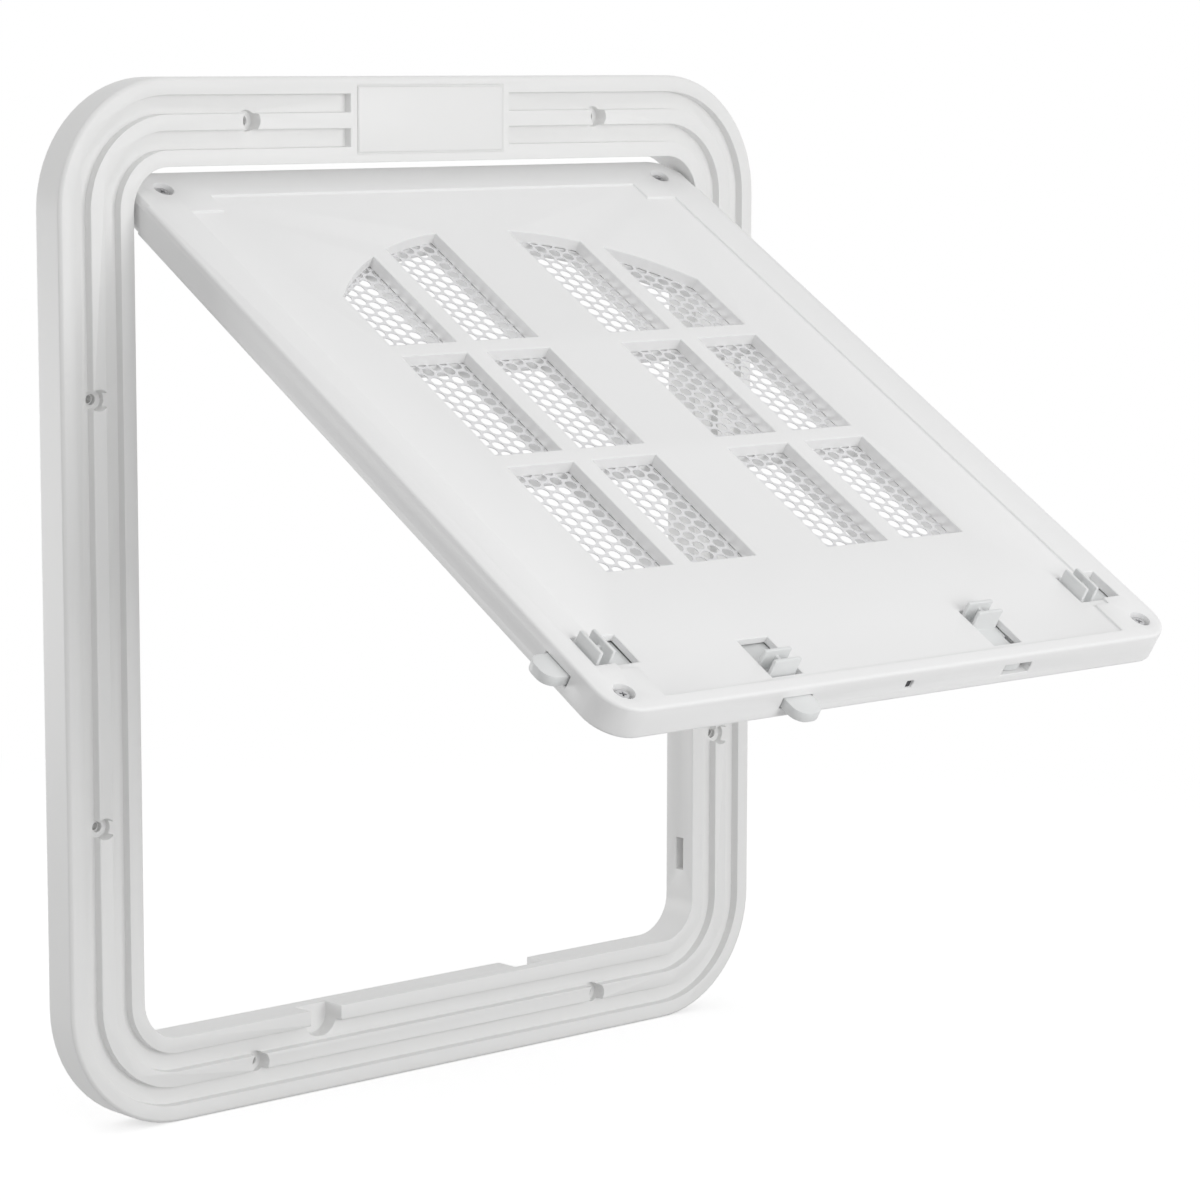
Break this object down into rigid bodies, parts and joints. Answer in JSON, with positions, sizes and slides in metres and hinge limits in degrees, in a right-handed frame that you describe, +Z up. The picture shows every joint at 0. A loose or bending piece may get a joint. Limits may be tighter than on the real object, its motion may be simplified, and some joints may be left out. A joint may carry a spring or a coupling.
{
  "type": "pet door",
  "caption": "White flap door for a small pet: a grooved two-part frame, a swinging flap with arched windows and a net, and slide bolts with thumb grips.",
  "frame": {"origin": "middle of the opening and of the frame's screw pattern, in the plane where the two frame halves meet, which is where the door panel is clamped", "axes": "+X to the right seen from the room, -Y out of the front face towards the room, +Z up"},
  "size_m": [0.37, 0.3076, 0.42],
  "materials": {
    "frame_plastic": "satin white moulding",
    "flap_plastic": "satin white moulding",
    "bolt_plastic": "satin white moulding",
    "net_plastic": "matt pale grey",
    "screw_steel": "zinc plated",
    "pin_steel": "bright",
    "magnet": "dark ferrite"
  },
  "bodies": {
    "frame": {"front_frame": "frame_plastic", "rear_frame": "frame_plastic", "sill_magnet": "magnet"},
    "flap": {"flap_front_shell": "flap_plastic", "flap_rear_shell": "flap_plastic", "mesh_screen": "net_plastic", "flap_screws": "screw_steel", "flap_magnet": "magnet", "hinge_pin_left": "pin_steel", "hinge_pin_right": "pin_steel"},
    "side_bolt_left": {"side_bolt_left": "bolt_plastic"},
    "side_bolt_right": {"side_bolt_right": "bolt_plastic"},
    "bottom_bolt_left": {"bottom_bolt_left": "bolt_plastic"},
    "bottom_bolt_right": {"bottom_bolt_right": "bolt_plastic"}
  },
  "joints": [
    {"name": "flap_hinge", "type": "hinge", "parent": "frame", "child": "flap", "pos_m": [0, 0, 0.161], "axis": [-1, 0, 0], "range_deg": [-56.4, 31]},
    {"name": "side_bolt_left_slide", "type": "slide", "parent": "flap", "child": "side_bolt_left", "axis": [1, 0, 0], "range_m": [0, 0.011]},
    {"name": "side_bolt_right_slide", "type": "slide", "parent": "flap", "child": "side_bolt_right", "axis": [1, 0, 0], "range_m": [0, 0.011]},
    {"name": "bottom_bolt_left_slide", "type": "slide", "parent": "flap", "child": "bottom_bolt_left", "axis": [0, 0.8563, 0.5165], "range_m": [0, 0.011]},
    {"name": "bottom_bolt_right_slide", "type": "slide", "parent": "flap", "child": "bottom_bolt_right", "axis": [0, -0.8563, -0.5165], "range_m": [0, 0.011]}
  ]
}
